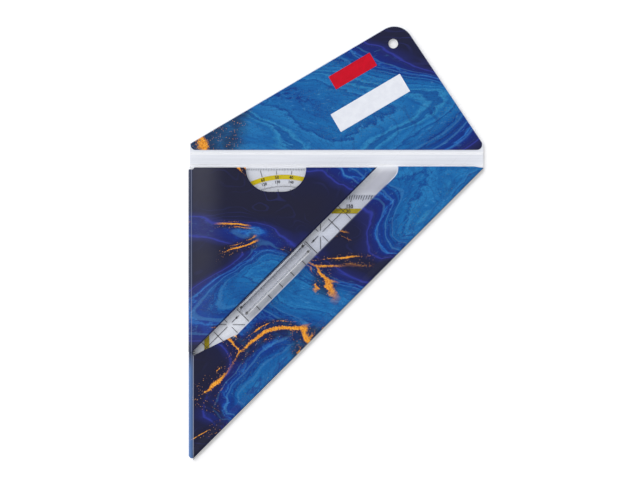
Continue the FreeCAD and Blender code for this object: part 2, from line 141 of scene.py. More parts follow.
def fill_ramp(ramp, stops):
    for i, (place, colour) in enumerate(stops):
        stop = ramp.elements[i] if i < 2 else ramp.elements.new(place)
        stop.position = place
        stop.color = colour


def paint(red, green, blue):
    """A colour given as it looks, from 0 to 255, in the shader's own linear values."""
    shares = [v / 255 for v in (red, green, blue)]
    return (*(v / 12.92 if v < 0.04 else ((v + 0.055) / 1.055) ** 2.4 for v in shares), 1.0)


def new_material(name):
    """An empty material, a wire to start its nodes from, and the surface's own place in mm."""
    material = bpy.data.materials.new(name)
    material.use_nodes = True
    material.node_tree.nodes.clear()
    start = Wire(material.node_tree)
    place = start.node("TexCoord", output="Object").vector("SCALE", {"Scale": 1 / MM})
    return material, start, place


def noise(place, size, detail=2.0, roughness=0.5, output=0):
    """Cloudy noise with features about size mm across."""
    sockets = {"Vector": place, "Scale": 1 / size, "Detail": detail, "Roughness": roughness}
    return place.node("TexNoise", {}, sockets, output)


def drawn_out(place, turn, share):
    """Places squeezed to that share along a direction in degrees from X, so that what is sampled
    there is drawn out along it."""
    sockets = {"Vector": place, "Rotation": (0, 0, math.radians(turn)), "Scale": (1 / share, 1, 1)}
    return place.node("Mapping", {"vector_type": "TEXTURE"}, sockets)


def bump(height, depth):
    """A normal from a height of 0 to 1 that stands for depth mm."""
    return height.node("Bump", {}, {"Height": height, "Distance": depth * MM})


def outer_shine(start, ior):
    """How much a polished plastic face reflects on its way in. Nothing is held back inside."""
    inside = start.node("NewGeometry", output="Backfacing")
    return start.node("Fresnel", {}, {"IOR": ior}) * (1 - inside)


def finish(shader):
    shader.node("OutputMaterial", {}, {"Surface": shader})


def dress(material, *names):
    for name in names:
        for held in nodes[name].material_slots:
            held.material = material


def shade_inside(place, colour):
    """The upper face of the back, with painted light and shade. It is painted lighter where the
    panels cover it and beside the small pocket's edge, against the shade that falls there, and
    painted darker where the channel leaves it open, most at the mouth."""
    down = mouth - place.axis("Y")
    open_here = (diagonal(place) - channel_start).rise(1, 8)
    inside = down.rise(-0.5, 4.5) * place.axis("Z").rise(0.3, 0.5)
    aside = across(place).rise(68, 76)
    # Painted shade: darker where the channel is open, most at the mouth, less further down.
    shade_by_depth = 1 - down.rise(13, 19) * 0.62 - down.rise(32, 40) * 0.38
    painted_shade = inside * aside * open_here * shade_by_depth
    # Painted light: lighter under the panels and beside the small pocket's edge, against the shade
    # there.
    painted_light_by_edge = down.rise(18, 28) * (1 - open_here)
    painted_light_inside = inside * aside.math("MAXIMUM", 1 - aside, painted_light_by_edge)
    colour = painted_light_inside.colours(colour, paint(248, 249, 252))
    return painted_shade.colours(colour, paint(184, 186, 198))


def shade_rim(place, colour):
    """The rim that shows along the long side. The front's print runs onto it for 0.35 mm, then it
    is warm white, and grey at its cut edge, partly as painted shade."""
    outward = diagonal(place) - seam_foot
    overprint = outward.rise(-0.2, 0) * (1 - outward.rise(0.4, 0.6))
    colour = outward.rise(-0.3, 0.3).colours(colour, paint(230, 228, 224))
    # Grey at the rim's cut edge: partly the edge's tone, partly painted shade.
    colour = outward.rise(0.8, 1.2).colours(colour, paint(176, 175, 172))
    return overprint.colours(colour, paint(28, 46, 88))


def make_white_sheet():
    """White sheet, paler along the two creases."""
    material, start, place = new_material("white_sheet")
    grain = noise(place, 0.3, detail=3)
    rolling = noise(drawn_out(place, 0, 0.02), 1.1, detail=3)
    scuffs = noise(drawn_out(place, 50, 0.06), 0.8, detail=4).rise(0.62, 0.74)
    off_creases = [abs(place.axis("Y") - crease).rise(0.35, 1.3) for crease in creases]
    near_creases = 1 - off_creases[0] * off_creases[1]
    shade = (rolling * 0.7 + grain * 0.3).rise(0.3, 0.7)
    colour = shade.colours(paint(217, 220, 229), paint(229, 232, 240))
    colour = shade_inside(place, colour)
    colour = (near_creases * 0.8).colours(colour, paint(243, 244, 248))
    colour = shade_rim(place, colour)
    colour = (scuffs * 0.35).colours(colour, paint(203, 206, 214))
    finish(start.node("BsdfPrincipled", {}, {
        "Base Color": colour,
        "Roughness": 0.42 + grain * 0.16 - scuffs * 0.08,
        "IOR": sheet_ior,
        "Normal": bump(grain * 0.5 + rolling * 0.5, 0.02),
    }))
    return material


white_sheet = make_white_sheet()
dress(white_sheet, "case_back")

# ---- Folded side --------------------------------------------------------------------------------
# The printed front sheet comes round the left side from the back in one long fold, higher beside
# the small pocket than below it. The print is paler along the lower part.

fold_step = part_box("fold_lower")[1].y / MM
print_ior = 1.45
BLUES = [
    (0.00, paint(30, 31, 54)),
    (0.20, paint(27, 30, 62)),
    (0.27, paint(31, 36, 94)),
    (0.285, paint(46, 56, 150)),
    (0.30, paint(27, 34, 98)),
    (0.38, paint(20, 38, 116)),
    (0.41, paint(18, 62, 150)),
    (0.425, paint(40, 110, 186)),
    (0.44, paint(14, 52, 138)),
    (0.50, paint(10, 68, 144)),
    (0.53, paint(18, 90, 160)),
    (0.545, paint(8, 50, 128)),
    (0.56, paint(16, 88, 158)),
    (0.64, paint(22, 104, 169)),
    (0.665, paint(12, 72, 144)),
    (0.68, paint(34, 118, 180)),
    (0.76, paint(18, 96, 163)),
    (0.80, paint(44, 130, 184)),
    (0.82, paint(16, 84, 152)),
    (0.90, paint(28, 112, 172)),
    (1.00, paint(48, 132, 182)),
]


def swirled(place, reach, size, detail):
    """Places pushed about by clouds of that size, by up to reach mm."""
    push = noise(place, size, detail, output="Color").vector("SUBTRACT", {1: (0.5, 0.5, 0.5)})
    return push.vector("MULTIPLY_ADD", {1: (2 * reach, 2 * reach, 0), 2: place})


def poured_blues(place, spot, quick, lightness):
    """Flat dark pools, with mottled blue between them and fine lines that follow their shores."""
    lively = swirled(quick, 0.7, 3.6, 3)
    pools = noise(quick, 58, detail=1.4, roughness=0.4)
    shore = (pools - 0.5) * 2.6 + 0.38 + lightness
    lit = shore.rise(0.22, 0.45)
    clouds = noise(quick, 15, detail=3, roughness=0.55)
    mottle = noise(lively, 1.4, detail=4, roughness=0.6)
    tone = shore + lit * ((clouds - 0.5) * 0.34 + (mottle - 0.5) * 0.09)
    tone = tone.math("PINGPONG", tone.math("MAXIMUM", tone, 0), 0.84)
    colour = tone.node("ValToRGB", {"stops": BLUES}, {0: tone})
    by_shore = shore.rise(0.28, 0.36) * (1 - shore.rise(0.5, 0.66))
    bands = (shore * 75 + noise(lively, 9) * 2).wave()
    threads = (noise(lively, 34, detail=1) * 230).wave()
    dark_lines = bands.rise(0.2, 1) * by_shore * 0.45 + threads.rise(0.82, 1) * noise(spot, 17) * 0.5
    dark_lines = dark_lines + mottle.rise(0.5, 0.75) * 0.3
    colour = (lit * dark_lines).colours(colour, paint(16, 42, 116))
    pale_lines = (bands * -1).rise(0.6, 1) * by_shore * 0.3 + mottle.rise(0.42, 0.25) * 0.4
    colour = (lit * pale_lines).colours(colour, paint(78, 148, 198))
    green_specks = noise(place, 0.8).rise(0.58, 0.68) * noise(quick, 11).rise(0.5, 0.62)
    colour = (lit * green_specks * 0.45).colours(colour, paint(84, 112, 104))
    dark_specks = noise(place.vector("ADD", {1: (0, 0, 5)}), 0.9, detail=3).rise(0.56, 0.64)
    colour = (lit * dark_specks * 0.35).colours(colour, paint(12, 40, 104))
    wisps = (noise(lively, 40, detail=2) * 130).wave().rise(0.75, 1)
    wisps = wisps * (1 - lit) * noise(spot, 21).rise(0.4, 0.7)
    return (wisps * 0.4).colours(colour, paint(46, 52, 116))


def gilded(place, spot, quick, gilding, colour):
    """Grainy veins of gold on a colour, dark beside them, with loose dust close by."""
    cell = 60
    cracks = {"Vector": quick, "Scale": 1 / cell}
    crack = place.node("TexVoronoi", {"feature": "DISTANCE_TO_EDGE"}, cracks) * cell
    second = abs(crack - 2.6) * 1.6 + noise(spot, 9).rise(0.3, 0.7) * 1.3
    crumbs = noise(place, 0.7, detail=3) - 0.5
    vein = crack.math("MINIMUM", crack, second) + crumbs * 1.5
    width = noise(spot, 24).rise(0.34, 0.66) * 0.95
    edging = (1 - vein.rise(width, width + 4)) * gilding
    colour = (edging * 0.8).colours(colour, paint(26, 27, 52))
    gold = (1 - vein.rise(width - 0.3, width)) * gilding * width.rise(0.05, 0.2)
    flicker = noise(place, 0.6, detail=2).rise(0.35, 0.65)
    colour = gold.colours(colour, flicker.colours(paint(204, 118, 32), paint(250, 176, 62)))
    grains = {"Vector": place, "Scale": 1.0}
    dust = 1 - place.node("TexVoronoi", {}, grains).rise(0.12, 0.3)
    chance = place.node("TexVoronoi", {}, grains, output="Color").axis("X").rise(0.5, 0.6)
    near = 1 - vein.rise(width + 0.4, width + 3)
    return (dust * chance * near * gilding).colours(colour, paint(204, 146, 92))


def pour(place, seed, turn, share, lightness, gilding):
    """A poured marbling. It is squeezed to a share along X, and the seed and the turn, in degrees,
    then give each print a layout of its own."""
    sockets = {"Vector": place.vector("ADD", {1: (0, 0, seed)})}
    sockets["Rotation"] = (0, 0, math.radians(turn))
    sockets["Scale"] = (share, 1, 1)
    spot = place.node("Mapping", {}, sockets)
    quick = swirled(swirled(spot, 34, 80, 1), 5, 18, 2)
    return gilded(place, spot, quick, gilding, poured_blues(place, spot, quick, lightness))


def printed(start, colour, top_only=True):
    """A colour printed on the upper side of a sheet whose back and cut edges stay white."""
    facing = start.node("TexCoord", output="Normal")
    inked = facing.axis("Z").rise(0.2, 0.45)
    if not top_only:
        inked = inked.math("MAXIMUM", inked, (facing.axis("X") * -1).rise(0.2, 0.45))
    return inked.colours(paint(214, 217, 226), colour)


def print_surface(start, place, colour, bow=0):
    """The glossy finish of the print. A sheet that bows is only lit as if it did: its bow is a
    height in mm."""
    grain = noise(place, 0.4, detail=2)
    ripple = noise(place, 9, detail=1)
    rubbed = noise(drawn_out(place, 40, 0.08), 1.2, detail=4).rise(0.6, 0.72)
    finish(start.node("BsdfPrincipled", {}, {
        "Base Color": colour,
        "Roughness": 0.18 + grain * 0.05 + rubbed * 0.03,
        "IOR": print_ior,
        "Normal": bump(grain * 0.0045 + ripple * 0.0255 + bow, 1.0),
    }))


def front_marbling(place):
    """The front's marbling, darker and more often gilded towards the tip of the pocket."""
    deep = mouth - place.axis("Y")
    lightness = across(place) * 0.0014 - 0.04 - deep * 0.0017
    cloud = noise(place.vector("ADD", {1: (30, 0, 90)}), 48, detail=1)
    gilding = (cloud + deep * 0.001 - 0.05).rise(0.50, 0.56)
    return pour(place, seed=11, turn=62, share=0.6, lightness=lightness, gilding=gilding)


def make_fold_print():
    """Pale and streaked along the lower part. The upper part is dark, with one painted highlight
    line.
    """
    material, start, place = new_material("fold_print")
    inward = across(place)
    streaks = noise(drawn_out(place, 90, 0.015), 0.35, detail=2)
    upper = (place.axis("Y") - fold_step).rise(-14, 2)
    pale = (0.85 - inward.rise(0.5, 1.5) * 0.3 + streaks * 0.2) * (1 - upper * 0.9)
    colour = pale.colours(front_marbling(place), paint(88, 121, 174))
    # A painted highlight along the upper part of the fold.
    painted_highlight_line = upper * (1 - abs(inward - 1.2).rise(0.1, 0.4))
    colour = (painted_highlight_line * 0.45).colours(colour, paint(158, 164, 190))
    print_surface(start, place, printed(start, colour, top_only=False))
    return material


dress(make_fold_print(), "fold_upper", "fold_lower")

# ---- Printed front ------------------------------------------------------------------------------
# Two panels of sheet, printed with a blue marbling, leave the diagonal channel between them. The
# lower panel slopes down along the long side, where it is welded to the back.

handle_low, handle_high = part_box("handle")
handle_middle = (handle_low + handle_high) / 2 / MM
handle_slant = handle_middle.x - handle_middle.y
handle_half, channel_play, mouth_play, mouth_curve = 3.75, 3.4, 0.7, 3.7
channel_edge = handle_slant + (handle_half + channel_play) * math.sqrt(2)
handle_exit = handle_slant + mouth - left      # where its middle line crosses the mouth
channel_mouth = handle_exit + handle_half * math.sqrt(2) + mouth_play


def cut_edge(place):
    """The sheet's white cut edge, partly a painted highlight, as a pale line on the lower panel: at
    the channel's mouth and along its lower half, faintly between them, and not at its tip."""
    past_edge = (diagonal(place) - channel_edge) * math.sqrt(0.5)
    past_mouth = across(place) - channel_mouth
    inward = past_mouth.math("SMOOTH_MAX", past_edge, past_mouth, mouth_curve)
    at_edge = inward.rise(-2, -1) * (1 - inward.rise(0.3, 0.65)) * across(place).rise(26, 30)
    faint = across(place).rise(66, 72) * (1 - across(place).rise(120, 126))
    return at_edge * (1 - faint * 0.8)


def make_front_print():
    """Besides the marbling: the cut edge with a painted highlight, a painted highlight beside the
    lower fold, more contrast painted on the slope against the grey sheen it catches, a dark line
    along the small pocket's edge, and that pocket's bow beside the fold."""
    material, start, place = new_material("front_print")
    below_step = 1 - (place.axis("Y") - fold_step).rise(-3, -1)
    # A painted highlight beside the lower fold.
    painted_highlight_line = below_step * (1 - abs(across(place) - 2.2).rise(0.1, 0.4))
    past_weld = diagonal(place) - channel_start
    dark_edge_line = past_weld.rise(-1.7, -0.9) * (1 - past_weld.rise(0.4, 0.8))
    slope = 1 - start.node("TexCoord", output="Normal").axis("Z").rise(0.78, 0.95)
    colour = front_marbling(place)
    # A pale line at the cut edge: the sheet's white, partly a painted highlight.
    colour = (cut_edge(place) * 0.9).colours(colour, paint(228, 230, 240))
    colour = (painted_highlight_line * 0.6).colours(colour, paint(168, 176, 200))
    # Painted light and shade: the slope's print gets more contrast, against the grey sheen it
    # catches.
    painted_contrast = colour.vector("MULTIPLY_ADD", {1: (1.3, 1.3, 1.3), 2: (-0.012, -0.012, -0.012)})
    colour = slope.colours(colour, painted_contrast)
    # A dark line along the small panel's edge at the channel.
    colour = (dark_edge_line * 0.85).colours(colour, paint(16, 18, 50))
    bow_height = 3.1
    bow = (across(place).rise(-10, 23) - 1) * (1 - past_weld.rise(0.2, 2.4)) * bow_height
    print_surface(start, place, printed(start, colour), bow)
    return material


dress(make_front_print(), "main_front", "hypotenuse_seam", "small_front")

# ---- Inside of the small pocket -----------------------------------------------------------------
# A thin milky film parts the two pockets, and a narrow weld joins it to the small front panel
# along the channel.


def make_clear_film():
    """Milky where it lies flat, and denser where it stands upright."""
    material, start, place = new_material("clear_sheet")
    lies_flat = abs(start.node("TexCoord", output="Normal").axis("Z")).rise(0.3, 0.8)
    haze = noise(place, 0.6, detail=3) * 0.1 + 0.55 + (1 - lies_flat) * 0.25
    film = start.node("BsdfPrincipled", {}, {
        "Base Color": paint(246, 247, 250),
        "Roughness": 0.3 + noise(place, 1.4) * 0.1,
        "IOR": sheet_ior,
    })
    clear = start.node("BsdfTransparent", {}, {"Color": (0.97, 0.975, 0.985, 1)})
    finish(start.node("MixShader", {}, {0: haze, 1: clear, 2: film}))
    return material


dress(make_clear_film(), "small_divider", "small_seam")

# ---- Spine and its two creases ------------------------------------------------------------------
# The spine is a strip of the white sheet between two pressed creases. Each crease leaves a thin
# web of the sheet, which bends as a living hinge.

web_half, web_thickness, web_lift, web_end_gap = 0.34, 0.15, 0.01, 0.05


def make_crease_web(name, crease):
    """A thin web over the whole length of a crease, cut along it so that it bends smoothly."""
    low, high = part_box("spine_strip")
    span = (high.x - low.x) / MM
    bpy.ops.object.select_all(action="DESELECT")
    bpy.ops.mesh.primitive_plane_add(size=1)
    web = bpy.context.object
    web.name = name
    middle = (low.x + high.x) / 2 / MM
    web.data.transform(Matrix.Diagonal((span - 2 * web_end_gap, 2 * web_half, 1, 1)))
    web.data.transform(Matrix.Translation((middle, crease, web_lift)))
    bpy.ops.object.mode_set(mode="EDIT")
    for share in (-0.5, 0, 0.5):
        bpy.ops.mesh.select_all(action="SELECT")
        bpy.ops.mesh.bisect(plane_co=(0, crease + web_half * share, 0), plane_no=(0, 1, 0))
    bpy.ops.mesh.select_all(action="SELECT")
    move = {"value": (0, 0, web_thickness)}
    bpy.ops.mesh.extrude_region_move(TRANSFORM_OT_translate=move)
    bpy.ops.mesh.select_all(action="SELECT")
    bpy.ops.mesh.normals_make_consistent(inside=False)
    bpy.ops.object.mode_set(mode="OBJECT")
    web.data.transform(Matrix.Scale(MM, 4))
    web.data.materials.append(white_sheet)
    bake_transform(web)


dress(white_sheet, "spine_strip")
make_crease_web("lower_crease_web", creases[0])
make_crease_web("upper_crease_web", creases[1])

# ---- Flap ---------------------------------------------------------------------------------------
# The flap is white sheet with a printed facing bonded to its inner side. The facing has rounded
# lower corners, and a hanging hole goes through both.

dress(white_sheet, "flap_sheet")


def make_flap_print():
    """A light marbling, lightest halfway along the flap and gilded only near its left end."""
    material, start, place = new_material("flap_print")
    lightness = 0.25 - abs(across(place) - 90) * 0.0012
    gilding = 1 - across(place).rise(34, 40)
    colour = pour(place, seed=63, turn=-24, share=0.4, lightness=lightness, gilding=gilding)
    print_surface(start, place, printed(start, colour))
    return material


dress(make_flap_print(), "flap_facing")

# ---- Label and name field on the flap -----------------------------------------------------------
# Both are printed on the facing as bare rectangles: a red label, and below it a white field in
# which the owner writes a name. They lie along the flap's left edge.

label_turn = 30.5       # degrees, the slope of the flap's left edge
patch_height, corner_radius = 0.03, 0.25


def make_patch(name, centre, length, width, colours):
    """A thin printed rectangle with slightly softened corners. Its centre is given from the
    right-angled corner of the pocket."""
    bpy.ops.object.select_all(action="DESELECT")
    bpy.ops.mesh.primitive_plane_add(size=1)
    patch = bpy.context.object
    patch.name = name
    patch.data.transform(Matrix.Diagonal((length, width, 1, 1)))
    bpy.ops.object.mode_set(mode="EDIT")
    bpy.ops.mesh.select_all(action="SELECT")
    bpy.ops.mesh.bevel(offset=corner_radius, segments=3, affect="VERTICES")
    bpy.ops.mesh.select_all(action="SELECT")
    bpy.ops.mesh.extrude_region_move(TRANSFORM_OT_translate={"value": (0, 0, patch_height)})
    bpy.ops.mesh.select_all(action="SELECT")
    bpy.ops.mesh.normals_make_consistent(inside=False)
    bpy.ops.object.mode_set(mode="OBJECT")
    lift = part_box("flap_facing")[1].z / MM
    spot = Matrix.Translation((left + centre[0], mouth + centre[1], lift))
    turn = Matrix.Rotation(math.radians(label_turn), 4, "Z")
    patch.data.transform(Matrix.Scale(MM, 4) @ spot @ turn)
    material, start, place = new_material(name)
    cloud = noise(place, 4, detail=4)
    screen = noise(place, 0.35, detail=2)
    colour = (cloud * 0.7 + screen * 0.3).rise(0.3, 0.7).colours(*colours)
    finish(start.node("BsdfPrincipled", {}, {
        "Base Color": colour,
        "Roughness": 0.2 + screen * 0.06,
        "IOR": print_ior,
        "Normal": bump(screen, 0.01),
    }))
    patch.data.materials.append(material)
    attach(patch, "flap")


red = (paint(190, 0, 30), paint(204, 2, 36))
pale = (paint(222, 225, 235), paint(232, 235, 243))
make_patch("label", centre=(101.3, 59.4), length=29.6, width=9.2, colours=red)
make_patch("name_field", centre=(112.2, 39.6), length=50.0, width=12.6, colours=pale)

# ---- Large set square ---------------------------------------------------------------------------
# A moulded clear acrylic triangle, 2.2 mm thick, with a bevelled ruling edge. It slides in the
# large pocket. Its faces are polished, and its cut edges catch the light.

acrylic_ior = 1.49


def make_clear_acrylic():
    """Clear where it is seen face on, bluish at its edges, with faint smears and hairlines."""
    material, start, place = new_material("clear_square")
    edge = 1 - abs(start.node("TexCoord", output="Normal").axis("Z")).rise(0.4, 0.9)
    smears = noise(place, 7, detail=4).rise(0.4, 0.7)
    hairlines = noise(drawn_out(place, 45, 0.03), 0.5, detail=3).rise(0.66, 0.72)
    body = start.node("BsdfPrincipled", {}, {
        "Base Color": edge.colours(paint(232, 236, 244), paint(158, 172, 192)),
        "Roughness": 0.1 + smears * 0.15,
        "IOR": acrylic_ior,
    })
    clear = start.node("BsdfTransparent", {}, {"Color": (0.980, 0.985, 1.0, 1)})
    cover = 0.006 + edge * 0.45 + smears * 0.012 + hairlines * 0.03
    plastic = start.node("MixShader", {}, {0: cover, 1: clear, 2: body})
    gloss = start.node("BsdfGlossy", {}, {
        "Color": (1, 1, 1, 1),
        "Roughness": 0.03 + smears * 0.05,
    })
    finish(start.node("MixShader", {}, {0: outer_shine(start, acrylic_ior), 1: plastic, 2: gloss}))
    return material


clear_acrylic = make_clear_acrylic()
dress(clear_acrylic, "large_square")

# ---- Scales of the large set square -------------------------------------------------------------
# Ruler, degree scale, guide lines and stars are screen printed on the underside in black. A yellow
# band is printed over them along the two legs, behind the second row of figures.

ink_thickness, black_drop, yellow_drop = 0.015, 0.02, 0.045


def ink_material(name, dark, light):
    """Matt ink, slightly uneven from the screen it was printed through."""
    material, start, place = new_material(name)
    screen = noise(place, 0.25, detail=2)
    finish(start.node("BsdfPrincipled", {}, {
        "Base Color": screen.rise(0.35, 0.65).colours(dark, light),
        "Roughness": 0.5 + screen * 0.15,
        "Specular IOR Level": 0.0,
        "Normal": bump(screen, 0.005),
    }))
    return material


black_ink = ink_material("black_ink", paint(18, 18, 24), paint(34, 34, 42))
yellow_ink = ink_material("yellow_ink", paint(170, 150, 0), paint(186, 166, 2))


def new_plate():
    """The mesh that every printed line is copied from: 1 mm square, from its start along X."""
    bpy.ops.object.select_all(action="DESELECT")
    bpy.ops.mesh.primitive_plane_add(size=1)
    bpy.ops.object.mode_set(mode="EDIT")
    bpy.ops.mesh.select_all(action="SELECT")
    bpy.ops.transform.translate(value=(0.5, 0, 0))
    bpy.ops.object.mode_set(mode="OBJECT")
    mesh = bpy.context.object.data
    bpy.data.objects.remove(bpy.context.object)
    return mesh


plate = new_plate()


def new_figure(text):
    """One printed figure 1 mm high, as a mesh."""
    bpy.ops.object.select_all(action="DESELECT")
    bpy.ops.object.text_add()
    figure = bpy.context.object
    figure.data.body = text
    figure.data.align_x = "CENTER"
    figure.data.resolution_u = 3
    figure.data.offset = 0.03
    bpy.ops.object.convert(target="MESH")
    mesh = bpy.context.object.data
    high = max(v.co.y for v in mesh.vertices)
    narrow = Matrix.Diagonal((0.86 / high, 1 / high, 1, 1))
    mesh.transform(Matrix.Translation((0, -0.5, 0)) @ narrow)
    bpy.data.objects.remove(bpy.context.object)
    return mesh


figures = {text: new_figure(text) for text in "0123456789"}
figure_step = 0.64      # from one figure to the next, in heights
square_corner = 1.5     # radius of the squares' acute corners


def copied(mesh, place):
    made = mesh.copy()
    made.transform(place)
    return made


def line(x, y, turn, length, width):
    """A printed line from a point, in a direction in degrees."""
    place = Matrix.Translation((x, y, 0)) @ Matrix.Rotation(math.radians(turn), 4, "Z")
    return copied(plate, place @ Matrix.Diagonal((length, width, 1, 1)))


def number(value, x, y, turn, height):
    """The figures of a number, centred on a point, and turned by so many degrees."""
    text = str(value)
    place = Matrix.Translation((x, y, 0)) @ Matrix.Rotation(math.radians(turn), 4, "Z")
    made = []
    for i, figure in enumerate(text):
        step = (i - (len(text) - 1) / 2) * figure_step
        spot = Matrix.Scale(height, 4) @ Matrix.Translation((step, 0, 0))
        made.append(copied(figures[figure], place @ spot))
    return made


def print_marks(name, meshes, material, place, body):
    """Joins flat marks into one piece with the thickness of ink, and puts it on its square."""
    bpy.ops.object.select_all(action="DESELECT")
    for mesh in meshes:
        mark = bpy.data.objects.new(name, mesh)
        bpy.context.scene.collection.objects.link(mark)
        mark.select_set(True)
        bpy.context.view_layer.objects.active = mark
    bpy.ops.object.join()
    piece = bpy.context.object
    piece.name = name
    solid = piece.modifiers.new("ink", "SOLIDIFY")
    solid.thickness = ink_thickness
    solid.offset = -1
    bpy.ops.object.modifier_apply(modifier=solid.name)
    piece.data.transform(Matrix.Scale(MM, 4) @ place)
    piece.data.materials.clear()
    piece.data.materials.append(material)
    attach(piece, body)


def place_on(node, drop):
    """Puts marks on the underside of a set square: X along its long side from the middle, Y
    towards its right angle. Also gives the height of the triangle."""
    low, high = (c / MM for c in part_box(node))
    leg = high.x - low.x + square_corner * math.sqrt(2)
    zero = Matrix.Translation((low.x + leg / 2, high.y - leg / 2, low.z - drop))
    return zero @ Matrix.Rotation(math.radians(45), 4, "Z"), leg / math.sqrt(2)


def at_angle(radius, angle):
    """The point at that distance from the middle of the long side, in that direction."""
    return radius * math.cos(math.radians(angle)), radius * math.sin(math.radians(angle))


def ray(angle, reach, inset):
    """Where a ray at so many degrees meets a line parallel to a leg, that far inside it."""
    c, s = at_angle(1, angle)
    r = (reach - inset * math.sqrt(2)) / (abs(c) + s)
    return r * c, r * s


def by_tens(value, tenth, fifth, other):
    """One of three, as a scale's value is a tenth, a fifth or another."""
    return tenth if value % 10 == 0 else fifth if value % 5 == 0 else other


def degree_ticks(reach, width, longest):
    """A tick for each degree from 5 to 175 along the legs, longer at every fifth and tenth. Its
    start is just inside the leg's edge."""
    made = []
    for angle in range(5, 176):
        length = longest * by_tens(angle, 1.0, 0.85, 0.64)
        x, y = ray(angle, reach, inset=0.4)
        made.append(line(x, y, angle + 180, length, width))
    return made


def ruler(half_length):
    """Millimetre ticks along the long side, longer at every fifth and tenth, with figures."""
    made = []
    for step in range(-half_length, half_length + 1):
        made.append(line(step, ruler_inset, 90, by_tens(step, 5.2, 4.0, 2.6), fine))
        if step % 10 == 0:
            made += number(abs(step) // 10, step, ruler_inset + ruler_row, 0, height=2.4)
    return made


fine, bold = 0.32, 0.40
ruler_inset, ruler_row = 0.8, 7.0                   # its ticks' start, and its figures above that
leg_row, leg_band, leg_figure = 7.2, 10.2, 2.3      # the two rows of figures along a leg
band_width, bare_end = 3.0, 9                       # the band stops short of the long side
axis_foot, axis_gap = 9.5, 18.5                     # the middle line, and what is bare above it
handle_line, above_stars = 38.1, 3.3                # the stars stand on the line of the handle
star_out, star_gap, arm_along, arm_across, arm_slanting = 40, 1.9, 6.2, 7.0, 7.8
guides, guide_half = (15, 20, 25, 30), 62


def star(x, y, slanting):
    """Six arms round a bare middle: along, across, and one slanting line."""
    made = []
    for turn in (0, 90, 180, 270, slanting, slanting + 180):
        arm = arm_across if turn in (90, 270) else arm_slanting if turn % 90 else arm_along
        out, up = at_angle(star_gap, turn)
        made.append(line(x + out, y + up, turn, arm, fine))
    return made


def make_large_scales():
    """Ticks and figures, then on each side its star, its lines and its centimetre marks."""
    place, reach = place_on("large_square", black_drop)
    made = degree_ticks(reach, width=fine, longest=4.3) + ruler(half_length=100)
    for angle in range(10, 180, 10):
        if angle != 90:
            leg_turn = -45 if angle < 90 else 45
            for value, inset in ((180 - angle, leg_row), (angle, leg_band)):
                x, y = ray(angle, reach, inset)
                made += number(value, x, y, leg_turn, leg_figure)
    for side in (-1, 1):
        outward = 90 - 90 * side
        made += star(side * star_out, handle_line, 90 - 45 * side)
        arm_end = side * (star_out + star_gap + arm_along)
        made.append(line(arm_end, handle_line, outward, length=14.5, width=fine))
        made.append(line(side * 33.2, handle_line, outward, length=1.3, width=1.0))
        height = handle_line + above_stars - guides[0]
        for step in (10, 20, 30, 50):
            made.append(line(side * step, guides[0], 90, height, bold))
        made.append(line(side * 60, guides[1], 90, length=23, width=fine))
    for level in guides:
        made.append(line(-guide_half, level, 0, 2 * guide_half, fine))
    made.append(line(0, axis_foot, 90, reach - axis_gap - axis_foot, bold))
    print_marks("large_scales", made, black_ink, place, "large_set_square")


def make_large_band():
    """One strip beside the right leg. It starts a band's width before the middle, is cut at the
    middle, and is mirrored onto the left leg."""
    place, reach = place_on("large_square", yellow_drop)
    middle = reach - leg_band * math.sqrt(2)
    length = band_width + middle * math.sqrt(2) - bare_end
    past_middle = band_width * math.sqrt(0.5)
    strip = line(-past_middle, middle + past_middle, -45, length, band_width)
    bpy.ops.object.select_all(action="DESELECT")
    band = bpy.data.objects.new("large_band", strip)
    bpy.context.scene.collection.objects.link(band)
    bpy.context.view_layer.objects.active = band
    band.select_set(True)
    bpy.ops.object.mode_set(mode="EDIT")
    bpy.ops.mesh.select_all(action="SELECT")
    bpy.ops.mesh.bisect(plane_co=(0, 0, 0), plane_no=(1, 0, 0), clear_inner=True)
    bpy.ops.object.mode_set(mode="OBJECT")
    both = band.modifiers.new("both legs", "MIRROR")
    bpy.ops.object.modifier_apply(modifier=both.name)
    mesh = band.data
    bpy.data.objects.remove(band)
    print_marks("large_band", [mesh], yellow_ink, place, "large_set_square")


make_large_scales()
make_large_band()

# ---- Handle -------------------------------------------------------------------------------------
# A moulded clear grip, waisted and dished on top, whose four prongs snap into the large square.
# The plastic is slightly smoky. What its thick sides bend is painted on as light and shade.

handle_end, prong_end, prong_side = 29.5, 26.8, 2.45
# Painted light and shade across the grip, side to side: a painted dark line, greys, and a painted
# highlight at the far edge.
PAINTED_STRIPES = [
    (0.00, paint(214, 217, 226)),
    (0.15, paint(206, 209, 219)),
    (0.20, paint(84, 86, 98)),
    (0.27, paint(168, 171, 183)),
    (0.62, paint(214, 217, 228)),
    (0.73, paint(222, 225, 235)),
    (0.77, paint(160, 163, 174)),
    (0.87, paint(160, 163, 174)),
    (0.90, paint(206, 209, 219)),
    (0.94, paint(250, 251, 253)),
    (1.00, paint(252, 253, 255)),
]


